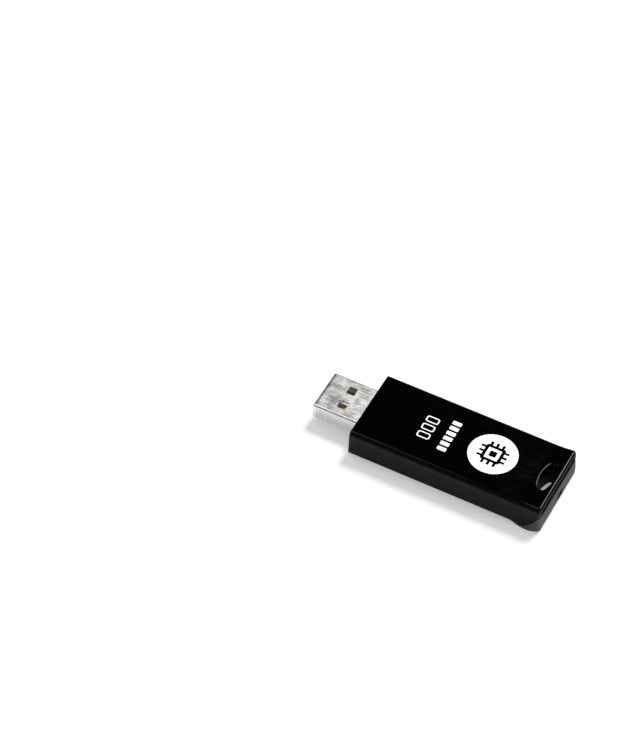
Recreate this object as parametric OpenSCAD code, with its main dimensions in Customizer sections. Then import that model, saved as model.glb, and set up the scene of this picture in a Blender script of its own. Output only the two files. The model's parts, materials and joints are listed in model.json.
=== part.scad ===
// Retractable USB flash drive. A glossy cover and a matte tray snap together round a
// carriage that carries the plug, the circuit board and a thumb slider.
// +X is the way the plug goes into a socket, +Y is across the body and +Z is up.
// The origin is under the middle of the drive, on the surface that it lies on.

/* [Housing] */
// Length of the body without the plug
body_l = 50.4; // [48.4:0.4:56]
// Width of the body ahead of the flared tail
body_w = 21.4; // [19.6:0.1:24]
// Height of the body ahead of the flared tail
body_h = 7.2; // [7.2:0.1:9]
// Thickness of the cover's top
cover_t = 1; // [0.8:0.1:1.1]
// Thickness of the cover's side walls
side_t = 1.1; // [0.9:0.05:1.1]
// Rounding of the cover's two long top edges
edge_r = 1.2; // [0.6:0.1:2]
// Thickness of the tray's floor
floor_t = 1; // [0.9:0.05:1]

/* [Tail] */
// Length over which the tail flares
flare_l = 6.4; // [4.4:0.5:8.4]
// Rise of the top at the tail
tail_rise = 0.35; // [0.1:0.05:0.6]
// Extra half width of the cover at the tail
tail_spread = 0.25; // [0:0.05:0.4]
// Extra half width of the sides' lower edge at its widest
lip_flare = 0.93; // [0.5:0.01:1.2]
// Rounding of the cover's two corners at the tail
corner_r = 1.2; // [0.8:0.1:1.4]
// Height of the tray's end, up to the groove under the cover's edge
end_seam = 4.4; // [3.6:0.1:4.8]
// Depth of the groove in the end
groove_deep = 0.7; // [0.5:0.05:0.8]
// How far the tray's end stands out beyond the cover's
end_lean = 0.4; // [0.2:0.05:0.4]
// Radius of the seam between cover and tray on the sides
seam_r = 6.9; // [6:0.1:6.9]

/* [Strap slot] */
// Length of the slot across the body
slot_l = 8.8; // [7:0.1:11]
// Width of the slot along the body
slot_w = 3.4; // [2.5:0.1:3.6]
// Distance from the tail's end to the middle of the slot
slot_in = 3.4; // [3.3:0.1:3.7]
// Width of the window in the end, which opens into the slot
window_w = 3; // [2:0.1:3.4]
// Height of the window in the end
window_h = 1.8; // [1:0.1:2.2]

/* [Plug] */
// Width of the metal shell
plug_w = 12; // [11.9:0.05:12.1]
// Height of the metal shell
plug_h = 4.5; // [4.4:0.05:4.6]
// Length of shell outside the body when the plug is out
plug_out = 12; // [11.75:0.05:12.2]
// Thickness of the shell's sheet metal
sheet_t = 0.3; // [0.25:0.05:0.35]

/* [Slider] */
// Travel of the carriage from plug out to plug in
travel = 12.2; // [12:0.1:12.3]
// Length and width of the thumb pad
pad_size = 9; // [8:0.5:9]
// Number of grip grooves in the thumb pad
grip_count = 5; // [3:1:6]

/* [Hidden] */
$fn = 64;
hull_fn = 32;
fit_gap = 0.05;
slide_gap = 0.25;
slice = 0.01;
past = 1;

// Stations along X
tail_x = -(body_l + plug_out) / 2;
nose_x = tail_x + body_l;
tip_x = nose_x + plug_out;
cover_end_x = tail_x + end_lean;
groove_x = cover_end_x + groove_deep;
slot_x = tail_x + slot_in;
slot_wall = 1.15;
block_x = slot_x + slot_w / 2 + slot_wall;
nose_wall = 1.2;
cavity_x = nose_x - nose_wall;

// Heights
cover_low = 0.15;
ceiling_z = body_h - cover_t;
mid_z = body_h / 2;
seam_x = tail_x + 7.4;
seam_z = body_h - 0.2;
seam_gap = 0.08;
seam_land = 0.8;
rim_r = 0.7;
window_y = -1.1;
window_low = 0.5;

// The tail's lip, and its cross-sections' distances from the end
lip_start = 8.6;
lip_peak = 3.3;
lip_end_r = 5;
lip_x = tail_x + lip_start;
tail_t = [0, 0.35, 1.2, 2.4, 3.8, 5.3, 6.9, lip_start];

// Widths inside the housing
inner_y = body_w / 2 - side_t;
tray_y = inner_y - fit_gap;
rail_t = 0.7;
rail_y = tray_y - rail_t;
rail_h = 4.4;

// The opening in the cover's front, which the plug slides through
mouth_y = plug_w / 2 + slide_gap;

// Carriage
carrier_y = rail_y - slide_gap;
carrier_t = 0.6;
carrier_z = floor_t + 0.15;
carrier_floor = 0.5;
carrier_front = cavity_x - 0.1;
carrier_back = block_x + travel + 0.2;
shell_back = cavity_x - 3.5;
split_z = mid_z - 0.15;
lid_top = ceiling_z - slide_gap;
lid_t = 0.6;

// Detent: where the springs' bumps lie while the plug is out, and the rails' notches
detent_x = carrier_back + 4;
detent_r = 0.9;
detent_y = rail_y - 0.55;

// Circuit board
board_t = 0.8;
board_top = mid_z - 0.2;
board_low = board_top - board_t;
board_front = shell_back - 0.2;
board_back = carrier_back + carrier_t + 0.2;
board_y = carrier_y - carrier_t - 0.1;

// Snap hooks that hold the cover on the tray, and the room that their pockets leave them
snap_x = [block_x + 7, block_x + 22, nose_x - 6.5];
snap_l = 4;
snap_z = 3.2;
snap_h = 0.6;
snap_reach = 0.25;
snap_room = [0.3, 0.1, 0.2];

// Thumb slider
pad_x = nose_x - 9;
pad_deep = 0.55;
pad_low = 0.05;
pad_gap = 0.2;
stem_l = 5;
stem_w = 4;

// A box between two limits on each axis
module block(x, y, z) {
    translate([x[0], y[0], z[0]])
        cube([x[1] - x[0], y[1] - y[0], z[1] - z[0]]);
}

// The child and its mirror image on the other side of the middle
module both_sides() {
    children();
    mirror([0, 1, 0]) children();
}

// A flat outline drawn across the body, in Y and Z, carried along X
module along_x(x) {
    translate([x[0], 0, 0])
        rotate([90, 0, 90])
            linear_extrude(x[1] - x[0]) children();
}

// A flat outline drawn in X and Z, carried across the body
module along_y(y) {
    translate([0, y[1], 0])
        rotate([90, 0, 0])
            linear_extrude(y[1] - y[0]) children();
}

// A rectangle on its centre with four round corners
module round_rect(size, r) {
    square([size[0] - 2 * r, size[1]], center = true);
    square([size[0], size[1] - 2 * r], center = true);
    for (x = [-1, 1], y = [-1, 1])
        translate([x * (size[0] / 2 - r), y * (size[1] / 2 - r)]) circle(r);
}

// An arch: flat at the bottom, with two round corners at the top
module arch(w, h, r, low = 0) {
    translate([-w / 2, low]) square([w, h - r - low]);
    translate([-w / 2 + r, low]) square([w - 2 * r, h - low]);
    for (side = [-1, 1])
        translate([side * (w / 2 - r), h - r]) circle(r);
}

// A four-arc oval, longer in Y, made of two end circles and two long side arcs
module oval(l, w, r) {
    run = l / 2 - r;
    side_r = (run * run + w * w / 4 - r * r) / (w - 2 * r);
    drop = side_r - w / 2;
    touch_y = run * side_r / (side_r - r);
    for (side = [-1, 1])
        translate([0, side * run]) circle(r);
    intersection() {
        translate([-w / 2, -touch_y]) square([w, 2 * touch_y]);
        translate([-drop, 0]) circle(side_r, $fn = 180);
        translate([drop, 0]) circle(side_r, $fn = 180);
    }
}

// How far the top's flare has gone at distance t from the end: 0 ahead of it, 1 at the end
function flare(t) = pow(max(0, (flare_l - t) / flare_l), 2);

// How far the sides' lower edge stands out at distance t from the end: it swells from
// lip_start to lip_peak, and an arc brings it back in to the end
function lip(t) =
    t > lip_peak
        ? lip_flare * (1 + cos(180 * min(1, (t - lip_peak) / (lip_start - lip_peak)))) / 2
        : lip_flare - lip_end_r + sqrt(pow(lip_end_r, 2) - pow(lip_peak - t, 2));

// How far the corners draw the sides in at distance t from the end
function corner(t) = t < corner_r ? corner_r - sqrt(pow(corner_r, 2) - pow(corner_r - t, 2)) : 0;

// One cross-section of the tail at distance t from the end
module tail_slice(t) {
    base_y = body_w / 2 + lip(t) - corner(t) / 2;
    side_y = body_w / 2 + tail_spread * flare(t) - corner(t);
    top_z = body_h + tail_rise * flare(t);
    along_x([tail_x + t, tail_x + t + slice]) {
        polygon([[-base_y, 0], [base_y, 0], [side_y, top_z - edge_r],
            [side_y - edge_r, top_z], [edge_r - side_y, top_z], [-side_y, top_z - edge_r]]);
        for (side = [-1, 1])
            translate([side * (side_y - edge_r), top_z - edge_r]) circle(edge_r, $fn = hull_fn);
    }
}

// What the end's profile takes off the tail, in X and Z: the tray's end leans out below
// the cover's, and the cover's top edge is rounded
module off_the_end() {
    top_z = body_h + tail_rise * flare(end_lean + rim_r);
    polygon(concat(
        [[tail_x - past, end_seam / 3], [tail_x, end_seam / 3], [cover_end_x, end_seam]],
        [for (a = [0 : 22.5 : 90])
            [cover_end_x + rim_r * (1 - cos(a)), top_z - rim_r * (1 - sin(a))]],
        [[cover_end_x + rim_r, body_h * 2], [tail_x - past, body_h * 2]]
    ));
}

// The tail's outer form
module tail_form() {
    difference() {
        for (i = [0 : len(tail_t) - 2])
            hull() {
                tail_slice(tail_t[i]);
                tail_slice(tail_t[i + 1]);
            }
        along_y([-body_w, body_w]) off_the_end();
    }
}

module cover_outside() {
    difference() {
        tail_form();
        block([tail_x - past, nose_x], [-body_w, body_w], [-past, cover_low]);
    }
    along_x([lip_x, nose_x]) arch(body_w, body_h, edge_r, cover_low, $fn = hull_fn);
}

// What lies behind and under the seam, in X and Z, with the seam's edge moved away by gap
module under_seam(gap) {
    difference() {
        translate([tail_x - past, -past])
            square([seam_x - tail_x + past, end_seam - gap + past]);
        translate([seam_x, seam_z]) circle(seam_r + gap, $fn = 180);
    }
}

module top_cover() {
    color([0.02, 0.02, 0.024])
    difference() {
        cover_outside();
        block([tail_x - past, cavity_x], [-inner_y, inner_y], [-past, ceiling_z]);
        block([cavity_x - past, nose_x + past],
            [-mouth_y, mouth_y], [-past, mid_z + plug_h / 2 + slide_gap]);
        along_y([-body_w, body_w]) under_seam(0);
        translate([slot_x, 0, ceiling_z - past])
            linear_extrude(past * 4) oval(slot_l, slot_w, 1);
        both_sides()
            for (x = snap_x)
                block([x - snap_l / 2 - snap_room[0], x + snap_l / 2 + snap_room[0]],
                    [inner_y - past, inner_y + snap_reach + snap_room[1]],
                    [snap_z - snap_room[2], snap_z + snap_h + snap_room[2]]);
    }
}

module tray_floor() {
    difference() {
        union() {
            block([block_x - past, cavity_x - fit_gap], [-tray_y, tray_y], [0, floor_t]);
            block([cavity_x - past, nose_x], [fit_gap - mouth_y, mouth_y - fit_gap], [0, floor_t]);
        }
        block([pad_x - travel - pad_size / 2 - pad_gap, pad_x + pad_size / 2 + pad_gap],
            [-pad_size / 2 - pad_gap, pad_size / 2 + pad_gap], [-past, pad_deep]);
        block([pad_x - travel - stem_l / 2 - pad_gap, pad_x + stem_l / 2 + pad_gap],
            [-stem_w / 2 - pad_gap, stem_w / 2 + pad_gap], [-past, floor_t + past]);
    }
}

// A rail along each side of the tray guides the carriage. It has two detent notches,
// and hooks that snap into the cover's side walls.
module tray_rails() {
    both_sides() {
        difference() {
            block([block_x - past, cavity_x - 0.5], [rail_y, tray_y], [floor_t - slice, rail_h]);
            for (x = [detent_x, detent_x - travel])
                translate([x, detent_y, 0]) cylinder(r = detent_r, h = body_h);
        }
        for (x = snap_x)
            block([x - snap_l / 2, x + snap_l / 2], [tray_y - slice, inner_y + snap_reach],
                [snap_z, snap_z + snap_h]);
    }
}

module tray_tail() {
    difference() {
        union() {
            intersection() {
                tail_form();
                along_y([-body_w, body_w]) under_seam(seam_gap);
                block([tail_x - past, seam_x - seam_land], [-body_w, body_w], [0, body_h]);
            }
            block([groove_x, block_x], [-tray_y, tray_y], [0, ceiling_z - fit_gap]);
        }
        translate([slot_x, 0, -past]) linear_extrude(body_h * 2) oval(slot_l, slot_w, 1);
        block([tail_x - past, slot_x], [window_y - window_w / 2, window_y + window_w / 2],
            [window_low, window_low + window_h]);
    }
}

module bottom_tray() {
    color([0.1, 0.1, 0.105]) {
        tray_floor();
        tray_rails();
        tray_tail();
    }
}

// Printed marks: a disc with a memory chip cut out of it, and two rows of plain blocks
print_t = 0.03;
emblem_x = tail_x + 17.6;
emblem_r = 6.1;

module chip_sign() {
    frame = 5;
    line = 0.8;
    core = 1.8;
    leg_l = 1.1;
    leg_w = 0.7;
    leg_gap = 1.5;
    difference() {
        round_rect([frame, frame], 0.5);
        round_rect([frame - 2 * line, frame - 2 * line], 0.2);
    }
    round_rect([core, core], 0.3);
    for (turn = [0 : 90 : 270], i = [-1 : 1])
        rotate(turn)
            translate([frame / 2 - slice, i * leg_gap - leg_w / 2]) square([leg_l, leg_w]);
}

module emblem_print() {
    color([0.93, 0.93, 0.92])
        translate([emblem_x, 0, body_h])
            linear_extrude(print_t)
                difference() {
                    circle(emblem_r, $fn = 128);
                    chip_sign();
                }
}

module legend_print() {
    small_x = tail_x + 29;
    large_x = tail_x + 34.6;
    color([0.93, 0.93, 0.92])
        translate([0, 0, body_h])
            linear_extrude(print_t) {
                for (i = [-2.5 : 2.5])
                    translate([small_x, i * 1.75]) round_rect([2.3, 1.15], 0.25);
                for (i = [-1 : 1])
                    translate([large_x, i * 2.6])
                        difference() {
                            round_rect([3.3, 1.9], 0.55);
                            round_rect([2.7, 1.3], 0.3);
                        }
            }
}

// The carrier's front cheeks, one on each side of the plug's shell
module cheeks(z) {
    both_sides()
        block([board_front - slice, carrier_front], [plug_w / 2 + 0.1, carrier_y], z);
}

spring_x = [detent_x - 3, detent_x + 3];

// A pocket in each side of the carrier, where a detent spring is pressed in
module spring_pockets() {
    both_sides()
        block([spring_x[0] - 0.1, spring_x[1] + 0.1],
            [carrier_y - 0.25, carrier_y + past], [carrier_z + 0.5, split_z + past]);
}

module carrier_frame() {
    color([0.16, 0.16, 0.17])
    difference() {
        union() {
            block([carrier_back, board_front], [-carrier_y, carrier_y],
                [carrier_z, carrier_z + carrier_floor]);
            both_sides() {
                block([carrier_back, board_front], [carrier_y - carrier_t, carrier_y],
                    [carrier_z, split_z]);
                block([carrier_back, board_front], [board_y - 0.4, carrier_y - carrier_t + slice],
                    [carrier_z, board_low]);
            }
            block([carrier_back, carrier_back + carrier_t], [-carrier_y, carrier_y],
                [carrier_z, split_z]);
            cheeks([carrier_z, split_z]);
        }
        block([pad_x - stem_l / 2 - fit_gap, pad_x + stem_l / 2 + fit_gap],
            [-stem_w / 2 - fit_gap, stem_w / 2 + fit_gap], [0, board_low]);
        spring_pockets();
    }
}

module carrier_lid() {
    low = split_z + fit_gap;
    color([0.16, 0.16, 0.17])
    difference() {
        union() {
            block([carrier_back, board_front], [-carrier_y, carrier_y], [lid_top - lid_t, lid_top]);
            both_sides()
                block([carrier_back, board_front], [carrier_y - carrier_t, carrier_y], [low, lid_top]);
            block([carrier_back, carrier_back + carrier_t], [-carrier_y, carrier_y], [low, lid_top]);
            cheeks([low, lid_top]);
        }
        for (x = [carrier_back + 5 : 5 : board_front - 5])
            block([x - 1, x + 1], [-4, 4], [lid_top - past, lid_top + past]);
    }
}

module thumb_slider() {
    hook = 0.4;
    groove_r = 0.28;
    groove_pitch = pad_size / (grip_count + 1);
    color([0.12, 0.12, 0.125])
    difference() {
        union() {
            translate([pad_x, 0, pad_low])
                linear_extrude(pad_deep - fit_gap - pad_low) round_rect([pad_size, pad_size], 0.8);
            block([pad_x - stem_l / 2, pad_x + stem_l / 2], [-stem_w / 2, stem_w / 2],
                [pad_deep - 0.1, board_low - 0.15]);
            for (side = [-1, 1])
                translate([pad_x + side * (stem_l / 2 + hook / 2 - slice), 0, 0])
                    block([-hook / 2, hook / 2], [-stem_w / 2, stem_w / 2],
                        [carrier_z + carrier_floor + fit_gap, board_low - 0.15]);
        }
        for (i = [1 : grip_count])
            translate([pad_x - pad_size / 2 + i * groove_pitch, 0, pad_low])
                rotate([90, 0, 0]) cylinder(r = groove_r, h = pad_size - 1.6, center = true, $fn = 24);
    }
}

// Two bent strips of spring steel. Each is pressed flat in its pocket as it is between
// the notches, so that its bump only just clears the rail.
module detent_springs() {
    strip_t = 0.15;
    bump_r = 0.7;
    low = carrier_z + 0.55;
    high = split_z - fit_gap;
    seat_y = carrier_y - 0.25;
    bump_y = rail_y - 0.03;
    color([0.72, 0.73, 0.75])
        both_sides() {
            block(spring_x, [seat_y, seat_y + strip_t], [low, high]);
            difference() {
                intersection() {
                    translate([detent_x, bump_y - bump_r, low]) cylinder(r = bump_r, h = high - low);
                    block([detent_x - 2, detent_x + 2], [seat_y + strip_t - slice, body_w], [low, high]);
                }
                translate([detent_x, bump_y - bump_r, 0]) cylinder(r = bump_r - strip_t, h = body_h);
            }
        }
}

// The shell's cross-section, in Y and Z
module shell_ring(w, h, r) {
    translate([0, mid_z]) round_rect([w, h], r);
}

latch_back = 5.2;
latch_l = 2.2;
latch_w = 2.4;
latch_y = 2.5;
shell_leg_l = 2.4;
shell_leg_z = [board_low - 0.3, board_top + 0.8];

module plug_shell() {
    color([0.78, 0.79, 0.8]) {
        difference() {
            along_x([shell_back, tip_x]) shell_ring(plug_w, plug_h, 0.6);
            along_x([shell_back - past, tip_x + past])
                shell_ring(plug_w - 2 * sheet_t, plug_h - 2 * sheet_t, 0.6 - sheet_t);
            both_sides()
                block([tip_x - latch_back - latch_l, tip_x - latch_back],
                    [latch_y - latch_w / 2, latch_y + latch_w / 2], [0, body_h]);
        }
        both_sides()
            block([shell_back - shell_leg_l, shell_back + slice],
                [plug_w / 2 - sheet_t, plug_w / 2], shell_leg_z);
    }
}

contact_y = [-3.5, -1, 1, 3.5];
contact_w = 1;
contact_t = 0.2;
contact_set_back = [1.6, 2.6, 2.6, 1.6];
tongue_front = tip_x - 0.7;

// The insulator fills the lower half of the shell ahead of a block that fills all of it
module plug_insulator() {
    half_y = plug_w / 2 - sheet_t - fit_gap;
    low = mid_z - plug_h / 2 + sheet_t + 0.02;
    high = mid_z + plug_h / 2 - sheet_t - 0.02;
    block_front = nose_x + 2.4;
    color([0.93, 0.93, 0.9])
        difference() {
            union() {
                block([shell_back + 0.1, tongue_front], [-half_y + 0.2, half_y - 0.2], [low, board_top]);
                block([shell_back + 0.1, block_front], [-half_y, half_y], [low + 0.35, high - 0.35]);
                block([shell_back + 0.1, block_front], [0.3 - half_y, half_y - 0.3], [low, high]);
            }
            for (i = [0 : 3])
                block([shell_back, tongue_front - contact_set_back[i] + 0.1],
                    [contact_y[i] - contact_w / 2 - 0.03, contact_y[i] + contact_w / 2 + 0.03],
                    [board_top - contact_t - 0.02, board_top + contact_t + 0.02]);
        }
}

module plug_contacts() {
    color([0.88, 0.7, 0.32])
        for (i = [0 : 3])
            block([board_front - 1.8, tongue_front - contact_set_back[i]],
                [contact_y[i] - contact_w / 2, contact_y[i] + contact_w / 2],
                [board_top, board_top + contact_t]);
}

module solder_joints() {
    color([0.75, 0.76, 0.77])
        for (y = contact_y)
            block([board_front - 2.3, board_front - 1.8], [y - 0.6, y + 0.6],
                [board_top, board_top + 0.3]);
}

module circuit_board() {
    leg_slot = shell_leg_l + 0.2;
    color([0.05, 0.3, 0.15])
        difference() {
            block([board_back, board_front], [-board_y, board_y], [board_low, board_top]);
            both_sides() {
                block([shell_back - leg_slot, board_front + past],
                    [plug_w / 2 - sheet_t - 0.15, plug_w / 2 + 0.15], [0, body_h]);
                translate([board_back + 1, board_y - 1, 0]) cylinder(r = 0.5, h = body_h);
            }
        }
}

// Flash memory in a flat package, with leads along its two short ends
flash_size = [18.4, 12, 1];
flash_x = board_back + 0.9 + 10;
flash_stand = 0.1;
lead_pitch = 0.5;
lead_count = 24;
lead_w = 0.2;
lead_t = 0.12;

module flash_chip() {
    color([0.07, 0.07, 0.07])
        difference() {
            translate([flash_x, 0, board_top + flash_stand])
                linear_extrude(flash_size[2]) round_rect([flash_size[0], flash_size[1]], 0.15);
            translate([flash_x + 7.6, 4.6, board_top + flash_stand + flash_size[2] - 0.1])
                cylinder(r = 0.5, h = past);
        }
}

// A gull-wing lead, in X and Z, growing outwards from the package's side
module gull_wing(reach, drop) {
    shoulder = 0.25;
    foot = 0.45;
    polygon([
        [0, drop], [shoulder, drop], [reach - foot, 0], [reach, 0],
        [reach, lead_t], [reach - foot + 0.06, lead_t], [shoulder + 0.06, drop + lead_t],
        [0, drop + lead_t]
    ]);
}

module flash_leads() {
    reach = 0.8;
    color([0.75, 0.76, 0.77])
        for (end = [0, 1], i = [0 : lead_count - 1])
            translate([flash_x, (i - (lead_count - 1) / 2) * lead_pitch, 0])
                mirror([end, 0, 0])
                    translate([flash_size[0] / 2, 0, board_top])
                        along_y([-lead_w / 2, lead_w / 2]) gull_wing(reach, 0.5);
}

// Parts under the board
controller_x = board_back + 12;
controller_size = 6;
chip_h = 0.75;

module controller_chip() {
    color([0.08, 0.08, 0.08])
        translate([controller_x, 0, board_low - chip_h])
            linear_extrude(chip_h) round_rect([controller_size, controller_size], 0.12);
}

module crystal_can() {
    color([0.8, 0.8, 0.78])
        translate([controller_x - 5.6, 2.4, board_low - 0.7])
            linear_extrude(0.7) round_rect([3.2, 2.5], 0.35);
}

module regulator_chip() {
    color([0.1, 0.1, 0.1])
        translate([controller_x - 5.6, -2.6, board_low - 0.75])
            linear_extrude(0.75) round_rect([2.9, 1.6], 0.1);
}

// A small part on its centre, hanging under the board
module under_board(x, y, size) {
    translate([x - size[0] / 2, y - size[1] / 2, board_low - size[2]]) cube(size);
}

module capacitors() {
    color([0.62, 0.47, 0.3])
        for (i = [0 : 2])
            for (side = [-1, 1])
                under_board(controller_x - 2.4 + 2.4 * i, side * 4.6, [1, 0.6, 0.5]);
}

module resistors() {
    color([0.12, 0.12, 0.13]) {
        for (i = [-1 : 1])
            under_board(controller_x + 4.6, i * 1.8, [0.6, 1, 0.4]);
        for (side = [-1, 1])
            under_board(controller_x - 8.3, side * 2.5, [0.6, 1, 0.4]);
    }
}

module status_led() {
    color([0.95, 0.95, 0.85])
        translate([board_back + 0.7, 3.5, board_low - 0.6])
            translate([-0.4, -0.8, 0]) cube([0.8, 1.6, 0.6]);
}

top_cover();
bottom_tray();
emblem_print();
legend_print();
carrier_frame();
carrier_lid();
thumb_slider();
detent_springs();
plug_shell();
plug_insulator();
plug_contacts();
solder_joints();
circuit_board();
flash_chip();
flash_leads();
controller_chip();
crystal_can();
regulator_chip();
capacitors();
resistors();
status_led();
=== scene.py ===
"""Looks of a retractable USB flash drive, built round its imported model.

The cover, the tray and the plug's shell are meshed here. The printed marks, the thumb
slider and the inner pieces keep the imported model's shapes: they get their finishes here,
and most of them rounded edges too.
"""

import json
import math

import bmesh
import bpy
from bpy.props import FloatProperty, FloatVectorProperty, IntProperty, PointerProperty
from mathutils import Matrix, Vector


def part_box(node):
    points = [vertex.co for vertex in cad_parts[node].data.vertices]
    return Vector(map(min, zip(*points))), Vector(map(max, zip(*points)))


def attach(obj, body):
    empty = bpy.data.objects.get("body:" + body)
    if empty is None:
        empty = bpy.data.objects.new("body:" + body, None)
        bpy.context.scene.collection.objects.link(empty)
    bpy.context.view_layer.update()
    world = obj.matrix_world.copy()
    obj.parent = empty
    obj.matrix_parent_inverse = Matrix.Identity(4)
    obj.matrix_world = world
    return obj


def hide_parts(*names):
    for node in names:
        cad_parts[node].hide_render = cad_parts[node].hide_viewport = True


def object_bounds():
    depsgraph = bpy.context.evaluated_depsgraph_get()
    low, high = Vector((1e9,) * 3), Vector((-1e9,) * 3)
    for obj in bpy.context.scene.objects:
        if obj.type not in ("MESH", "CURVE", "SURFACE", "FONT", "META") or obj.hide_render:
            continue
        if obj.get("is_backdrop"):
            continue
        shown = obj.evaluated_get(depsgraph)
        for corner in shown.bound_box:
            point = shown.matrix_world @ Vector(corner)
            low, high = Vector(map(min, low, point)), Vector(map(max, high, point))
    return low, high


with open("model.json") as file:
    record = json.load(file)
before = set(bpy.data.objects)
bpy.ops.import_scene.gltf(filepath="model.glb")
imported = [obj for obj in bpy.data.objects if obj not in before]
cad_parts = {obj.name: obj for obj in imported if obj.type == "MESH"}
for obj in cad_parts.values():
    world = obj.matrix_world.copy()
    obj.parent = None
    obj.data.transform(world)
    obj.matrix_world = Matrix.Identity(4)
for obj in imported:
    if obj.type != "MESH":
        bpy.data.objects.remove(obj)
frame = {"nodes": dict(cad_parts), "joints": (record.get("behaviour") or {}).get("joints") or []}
CAD_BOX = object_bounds()

bl_info = {
    "name": "Flash drive",
    "version": (1, 0, 0),
    "blender": (4, 5, 0),
    "location": "View3D > Sidebar > Flash drive",
    "description": "Builds a retractable USB flash drive round its packed model",
    "category": "Add Mesh",
}

MM = 0.001
HOUSING = "housing"
CARRIAGE = "carriage"

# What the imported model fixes
TRAY_LOW, TRAY_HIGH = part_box("bottom_tray")
COVER_LOW, COVER_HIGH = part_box("top_cover")
SHELL_LOW, SHELL_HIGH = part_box("plug_shell")
SLIDER_LOW, SLIDER_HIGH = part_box("thumb_slider")
BOARD_LOW, BOARD_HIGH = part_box("circuit_board")
TRAVEL = frame["joints"][0]["range_m"][1]
TAIL_X = TRAY_LOW.x
NOSE_X = COVER_HIGH.x
BODY_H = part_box("emblem_print")[0].z
NEAR = 0.05 * MM

SLOT_END = 1.0 * MM  # radius of the strap slot's end arcs
FIT = 0.05 * MM  # room between the tray and the cover round it
SHELL_CORNER = 0.6 * MM  # outer corners of the plug's shell
INSIDE = 0.98  # keeps the tail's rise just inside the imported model's box
CREASE = 35.0  # degrees over which an edge stays sharp
CAD_CREASE = 40.0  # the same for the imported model's own nodes
WHITE = (1.0, 1.0, 1.0, 1.0)


def reach(node, x):
    """Half the width of a CAD node at a station along X."""
    return max(v.co.y for v in frame["nodes"][node].data.vertices if abs(v.co.x - x) < NEAR)


HALF_W = reach("top_cover", NOSE_X)
COVER_T = COVER_LOW.x - TAIL_X


def measure(name, description, millimetres):
    """A length that a user can change, in metres inside Blender."""
    return FloatProperty(
        name=name, description=description, default=millimetres * MM, unit="LENGTH")


class DriveShape(bpy.types.PropertyGroup):
    """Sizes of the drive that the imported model's boxes don't give"""

    edge_radius: measure("Edge radius", "Rounding of the cover's two long top edges", 1.2)
    slot_rim: measure("Slot rim", "Rounding of the strap slot's edges", 0.2)
    rim_radius: measure("Rim radius", "Rounding of the cover's edge at the tail", 0.7)
    corner_radius: measure("Corner radius", "Rounding of the drive's upright corners at the tail", 0.9)
    end_height: measure("End height", "Height of the tray's end, under the groove", 4.4)
    groove_depth: measure("Groove depth", "Depth of the groove under the cover's edge at the tail", 0.7)
    nose_radius: measure("Nose radius", "Rounding of the cover's front edge", 0.3)
    side_wall: measure("Side wall", "Thickness of the cover's side walls", 1.1)
    top_wall: measure("Top wall", "Thickness of the cover's top", 1.0)
    nose_wall: measure("Nose wall", "Thickness of the cover's front wall", 1.2)
    flare_length: measure("Flare length", "Length over which the tail's top rises", 6.4)
    lip_start: measure("Lip start", "Distance from the end at which the lower edge starts to swell", 8.6)
    lip_peak: measure("Lip peak", "Distance from the end at which the lower edge is widest", 3.3)
    lip_end_radius: measure("Lip end radius", "Radius that brings the lower edge back in at the end", 5.0)
    tail_spread: measure("Tail spread", "Extra half width of the cover's shoulders at the end", 0.25)
    seam_radius: measure("Seam radius", "Radius of the seam between cover and tray on the sides", 6.9)
    seam_gap: measure("Seam gap", "Gap between the cover and the tray at the tail", 0.08)
    slot_length: measure("Slot length", "Length of the strap slot across the drive", 8.8)
    slot_width: measure("Slot width", "Width of the strap slot along the drive", 3.4)
    slot_centre: measure("Slot centre", "Distance from the end to the middle of the strap slot", 3.4)
    window_width: measure("Window width", "Width of the window in the end", 3.0)
    window_height: measure("Window height", "Height of the window in the end", 1.8)
    window_side: measure("Window offset", "Distance of the window from the middle, to the far side", 1.1)
    floor: measure("Floor", "Thickness of the tray's floor", 1.0)
    recess: measure("Recess", "Depth of the recess that the thumb slider lies in", 0.55)
    sheet: measure("Sheet", "Thickness of the plug's sheet metal", 0.3)
    leg_length: measure("Leg length", "Length of the plug shell's two solder legs", 2.4)
    latch_back: measure("Latch distance", "Distance of the latch windows from the plug's tip", 5.2)
    latch_length: measure("Latch length", "Length of the latch windows", 2.2)
    latch_width: measure("Latch width", "Width of the latch windows", 2.4)
    latch_side: measure("Latch offset", "Distance of the latch windows from the middle", 2.5)
    dovetails: IntProperty(
        name="Dovetails", description="Dovetails that close the shell's seam underneath",
        default=2, min=1, max=3)


def colour(name, description, default):
    return FloatVectorProperty(
        name=name, description=description, default=default, subtype="COLOR", min=0.0, max=1.0)


class DriveColours(bpy.types.PropertyGroup):
    """Base colours of the drive's materials"""

    cover: colour("Cover", "Glossy black of the cover", (0.0008, 0.0008, 0.0011))
    tray: colour("Tray", "Dark grey of the tray", (0.034, 0.034, 0.037))
    ink: colour("Ink", "White ink of the printed marks", (0.94, 0.94, 0.93))
    slider: colour("Slider", "Dark grey of the thumb slider", (0.035, 0.035, 0.037))
    carrier: colour("Carrier", "Grey of the carriage", (0.08, 0.08, 0.083))
    nickel: colour("Nickel", "Plating of the plug's shell", (0.72, 0.72, 0.71))
    insulator: colour("Insulator", "White plastic inside the plug", (0.82, 0.81, 0.77))
    gold: colour("Gold", "Plating of the contacts", (0.83, 0.6, 0.22))
    resist: colour("Resist", "Green lacquer of the circuit board", (0.012, 0.11, 0.045))
    floor: colour("Floor", "Floor of the studio", (0.9, 0.9, 0.9))


# --- Outlines -------------------------------------------------------------------------


def steps(first, last, count):
    """count + 1 evenly spaced values from first to last."""
    return [first + (last - first) * k / count for k in range(count + 1)]


def quarter(count):
    """Angles from 0 to 90 degrees."""
    return steps(0.0, math.pi / 2, count)


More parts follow.
